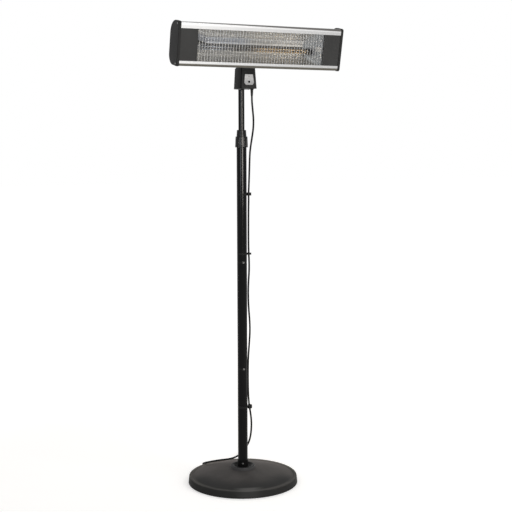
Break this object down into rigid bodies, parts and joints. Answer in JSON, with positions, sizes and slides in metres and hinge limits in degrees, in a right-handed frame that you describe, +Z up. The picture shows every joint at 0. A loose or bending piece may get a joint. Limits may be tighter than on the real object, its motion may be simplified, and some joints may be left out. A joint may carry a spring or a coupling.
{
  "type": "outdoor heater",
  "caption": "Free-standing infrared patio heater: round cast base, sectioned pole with telescopic mast, control box, and a wide tilting lamp head behind a wire guard.",
  "frame": {"origin": "middle of the base on the floor, on the pole's axis", "axes": "+Z up the pole, -Y the way the lamp head faces, +X along the lamp head"},
  "size_m": [0.6198, 0.5214, 1.6497],
  "materials": {
    "base_iron": "textured dark grey paint over a casting",
    "ballast_cement": "bare cement filling",
    "foot_rubber": "black rubber",
    "collar_paint": "dark grey paint",
    "pole_paint": "gloss black paint",
    "joiner_steel": "bare steel",
    "screw_steel": "blackened steel",
    "clutch_plastic": "black plastic",
    "box_plastic": "dark grey plastic, fine texture",
    "plate_silver": "silver satin",
    "button_plastic": "black plastic",
    "lens_red": "clear red",
    "housing_aluminium": "satin anodised extrusion",
    "cap_plastic": "dark grey plastic",
    "cheek_paint": "dark grey paint",
    "grille_wire": "bright wire",
    "reflector_mirror": "polished sheet",
    "quartz_glass": "clear quartz, faintly amber",
    "carbon": "carbon ribbon",
    "ceramic": "white ceramic",
    "holder_steel": "bare steel",
    "cord_rubber": "black sheath",
    "pin_brass": "plated brass"
  },
  "bodies": {
    "stand": {"base_casting": "base_iron", "base_ballast": "ballast_cement", "rubber_feet": "foot_rubber", "foot_collar": "collar_paint", "pole_socket": "collar_paint", "socket_screw": "screw_steel", "base_bolt": "screw_steel", "base_washer": "screw_steel", "lower_pole": "pole_paint", "middle_pole": "pole_paint", "upper_pole": "pole_paint", "lower_joiner": "joiner_steel", "upper_joiner": "joiner_steel", "clutch_collet": "clutch_plastic", "cable_clips": "clutch_plastic", "cord_middle": "cord_rubber", "cord_lower": "cord_rubber", "plug_body": "cord_rubber", "plug_pins": "pin_brass"},
    "clutch": {"clutch_nut": "clutch_plastic"},
    "carriage": {"glide_bush": "clutch_plastic", "cord_upper": "cord_rubber"},
    "mast": {"mast_tube": "pole_paint", "box_front_shell": "box_plastic", "box_rear_shell": "box_plastic", "control_plate": "plate_silver", "switch_block": "box_plastic", "pilot_lens": "lens_red", "cord_gland": "cord_rubber", "box_screws": "screw_steel", "tilt_yoke": "pole_paint", "yoke_screws": "screw_steel", "pivot_bolt": "screw_steel"},
    "button": {"power_button": "button_plastic"},
    "knob": {"tilt_knob": "clutch_plastic"},
    "head": {"head_bracket": "pole_paint", "bracket_screws": "screw_steel", "housing": "housing_aluminium", "end_cap_left": "cap_plastic", "end_cap_right": "cap_plastic", "cap_screws": "screw_steel", "cheek_panel_left": "cheek_paint", "cheek_panel_right": "cheek_paint", "grille": "grille_wire", "reflector": "reflector_mirror", "reflector_end_left": "reflector_mirror", "reflector_end_right": "reflector_mirror", "quartz_tube": "quartz_glass", "carbon_element": "carbon", "ceramic_ends": "ceramic", "lamp_holders": "holder_steel", "lamp_terminal": "ceramic"}
  },
  "joints": [
    {"name": "clutch_turn", "type": "hinge", "parent": "stand", "child": "clutch", "pos_m": [0, 0, 1.25], "axis": [0, 0, 1], "range_deg": [-60, 60]},
    {"name": "mast_slide", "type": "slide", "parent": "stand", "child": "carriage", "axis": [0, 0, 1], "range_m": [-0.095, 0.21], "deforming": ["cord_middle"]},
    {"name": "mast_swivel", "type": "hinge", "parent": "carriage", "child": "mast", "pos_m": [0, 0, 0.98], "axis": [0, 0, 1], "range_deg": [-90, 90]},
    {"name": "head_tilt", "type": "hinge", "parent": "mast", "child": "head", "pos_m": [0, -0.064, 1.594], "axis": [1, 0, 0], "range_deg": [-22, 28]},
    {"name": "knob_turn", "type": "hinge", "parent": "mast", "child": "knob", "pos_m": [0.03, -0.064, 1.594], "axis": [1, 0, 0], "range_deg": [0, 180]},
    {"name": "button_press", "type": "slide", "parent": "mast", "child": "button", "axis": [0, 0.9984, -0.0558], "range_m": [0, 0.0015], "stiffness_N_per_m": 1000}
  ]
}
